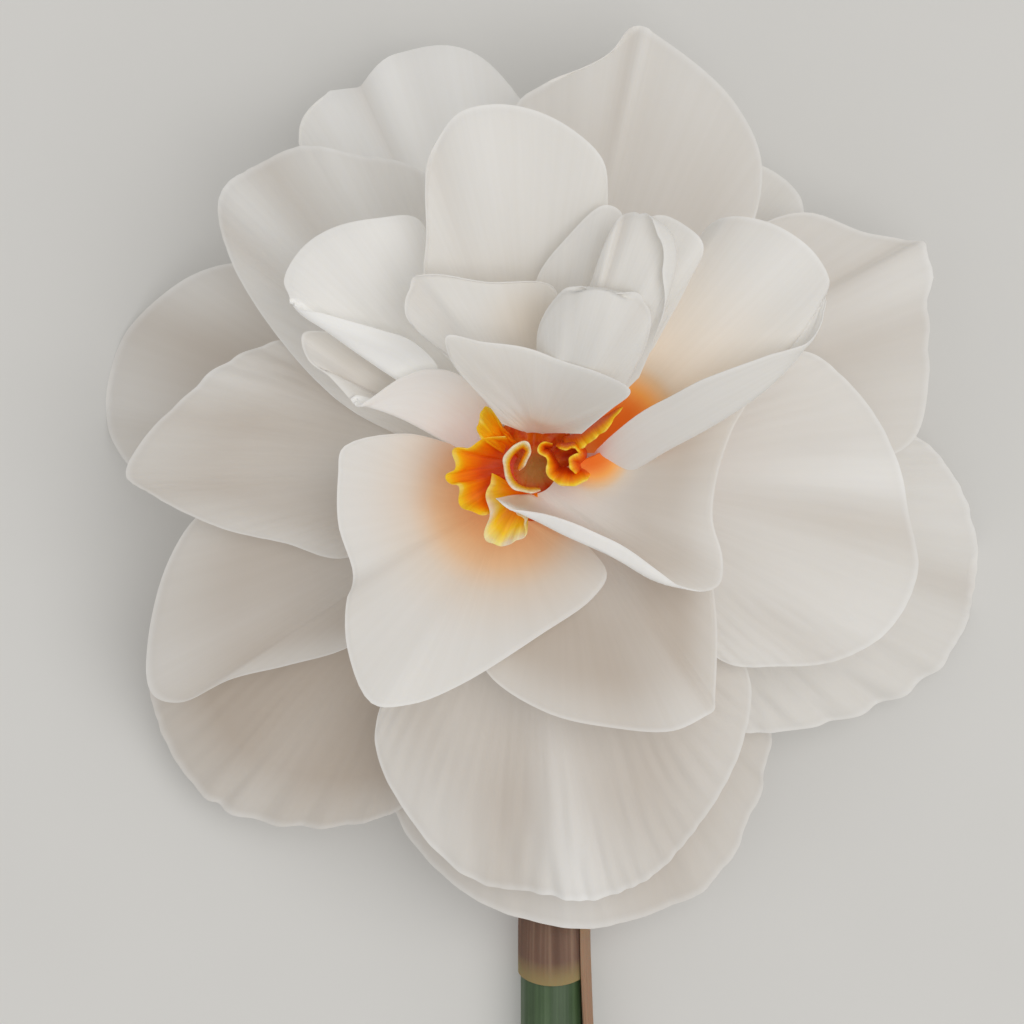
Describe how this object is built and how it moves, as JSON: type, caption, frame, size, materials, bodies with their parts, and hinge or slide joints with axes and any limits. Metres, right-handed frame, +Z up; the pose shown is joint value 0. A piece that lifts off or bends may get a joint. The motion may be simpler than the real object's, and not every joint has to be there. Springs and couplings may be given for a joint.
{
  "type": "narcissus flower",
  "caption": "Double narcissus flower as cut, lying face up on its stalk: layered white petals round a frilled orange and yellow split crown, with ovary, papery sheath and scape.",
  "frame": {"origin": "middle of the footprint, on the surface that the flower lies on", "axes": "+Z up, the way the bloom faces; +Y from the cut end of the stalk towards the bloom; +X to the right as the flower is seen from above with the stalk towards the viewer"},
  "size_m": [0.092, 0.226, 0.0503],
  "materials": {
    "petal": "satin white petal",
    "crown_orange": "satin orange corona",
    "crown_yellow": "satin yellow corona margin",
    "heart": "matte orange base of the corona",
    "stalk": "satin green stalk",
    "sheath": "matte dry papery brown"
  },
  "bodies": {
    "root": {"outer_petal_bottom_back": "petal", "outer_petal_right_back": "petal", "outer_petal_upper_right_back": "petal", "outer_petal_top_left_back": "petal", "outer_petal_left_back": "petal", "outer_petal_lower_left_back": "petal", "outer_petal_bottom_front": "petal", "outer_petal_right_front": "petal", "outer_petal_upper_right_front": "petal", "outer_petal_top_front": "petal", "outer_petal_upper_left_front": "petal", "outer_petal_left_front": "petal", "outer_petal_lower_left_front": "petal", "inner_petal_lower_right": "petal", "inner_petal_lower_left": "petal", "inner_petal_right": "petal", "inner_petal_upper_right": "petal", "inner_petal_top": "petal", "inner_petal_upper_left": "petal", "inner_petal_left": "petal", "centre_petal_back_left": "petal", "centre_petal_back_right": "petal", "centre_petal_left": "petal", "centre_petal_roll_high": "petal", "centre_petal_roll_low": "petal", "centre_petal_hood": "petal", "crown_lobe_left": "crown_orange", "crown_lobe_upper_left": "crown_yellow", "crown_lobe_tongue": "crown_yellow", "crown_frill_curl": "crown_yellow", "crown_frill_right": "crown_orange", "crown_frill_middle": "crown_orange", "crown_frill_upper_right": "crown_yellow", "receptacle": "heart", "perianth_tube": "stalk", "ovary": "stalk", "pedicel": "stalk", "scape": "stalk", "spathe_sheath": "sheath", "spathe_torn_strip": "sheath"}
  },
  "joints": []
}
